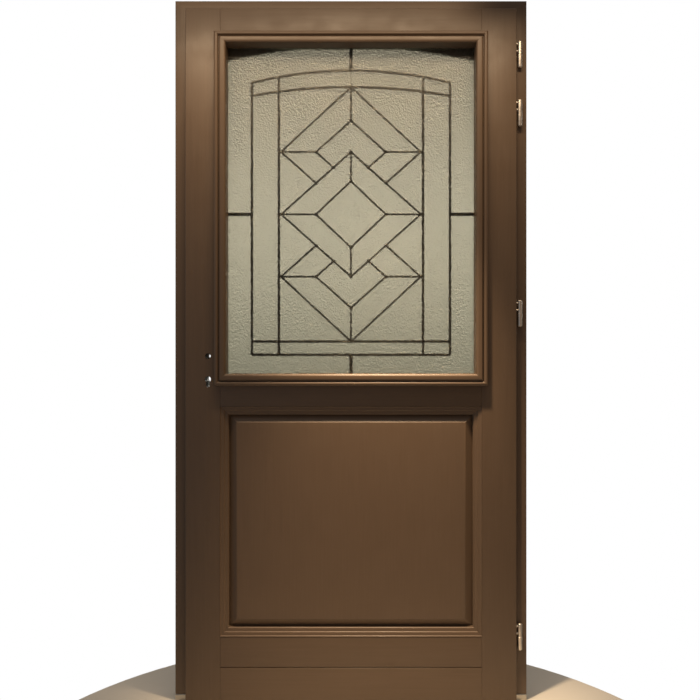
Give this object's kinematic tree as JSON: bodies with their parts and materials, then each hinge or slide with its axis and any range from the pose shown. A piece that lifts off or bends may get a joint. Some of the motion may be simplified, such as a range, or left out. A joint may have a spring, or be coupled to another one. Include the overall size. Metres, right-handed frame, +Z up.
{
  "type": "glazed entrance door",
  "caption": "Half-glazed timber entrance door in its frame, with a leaded lattice in the glass above a raised panel; the leaf swings inwards on drill-in hinges.",
  "frame": {"origin": "middle of the threshold's underside, halfway through the frame's depth", "axes": "+Z up, +X to the right seen from the inside, -Y towards the inside, which the leaf opens into"},
  "size_m": [1.1, 0.109, 2.19],
  "materials": {
    "painted_wood": "satin grey-brown paint over faint grain",
    "hinge_nickel": "bright nickel",
    "lock_steel": "brushed",
    "threshold_aluminium": "natural anodised",
    "spacer_aluminium": "mill finish",
    "gasket_rubber": "matte",
    "lead_came": "dull lead with soldered joints",
    "ornament_glass": "fine granular ornament",
    "rear_glass": "satin"
  },
  "bodies": {
    "frame": {"jamb_lock_side": "painted_wood", "jamb_hinge_side": "painted_wood", "frame_head": "painted_wood", "threshold": "threshold_aluminium", "frame_gasket": "gasket_rubber", "strike_plate": "lock_steel", "hinge_1_frame_knuckle": "hinge_nickel", "hinge_1_pin": "hinge_nickel", "hinge_2_frame_knuckle": "hinge_nickel", "hinge_2_pin": "hinge_nickel", "hinge_3_frame_knuckle": "hinge_nickel", "hinge_3_pin": "hinge_nickel", "hinge_4_frame_knuckle": "hinge_nickel", "hinge_4_pin": "hinge_nickel"},
    "leaf": {"stile_lock_side": "painted_wood", "stile_hinge_side": "painted_wood", "top_rail": "painted_wood", "lock_rail": "painted_wood", "upper_bottom_rail": "painted_wood", "lower_bottom_rail": "painted_wood", "glazing_moulding_top": "painted_wood", "glazing_moulding_bottom": "painted_wood", "glazing_moulding_lock_side": "painted_wood", "glazing_moulding_hinge_side": "painted_wood", "outer_bead_bottom": "painted_wood", "outer_bead_lock_side": "painted_wood", "outer_bead_hinge_side": "painted_wood", "arched_head_piece": "painted_wood", "ornament_pane": "ornament_glass", "rear_pane": "rear_glass", "glass_spacer": "spacer_aluminium", "leaded_lattice": "lead_came", "raised_panel": "painted_wood", "panel_moulding_top": "painted_wood", "panel_moulding_bottom": "painted_wood", "panel_moulding_lock_side": "painted_wood", "panel_moulding_hinge_side": "painted_wood", "outer_panel_moulding_top": "painted_wood", "outer_panel_moulding_bottom": "painted_wood", "outer_panel_moulding_lock_side": "painted_wood", "outer_panel_moulding_hinge_side": "painted_wood", "lock_case": "lock_steel", "spindle_follower": "lock_steel", "hinge_1_leaf_knuckle": "hinge_nickel", "hinge_2_leaf_knuckle": "hinge_nickel", "hinge_3_leaf_knuckle": "hinge_nickel", "hinge_4_leaf_knuckle": "hinge_nickel"}
  },
  "joints": [
    {"name": "leaf_swing", "type": "hinge", "parent": "frame", "child": "leaf", "pos_m": [0.527, -0.044, 0], "axis": [0, 0, 1], "range_deg": [0, 110]}
  ]
}
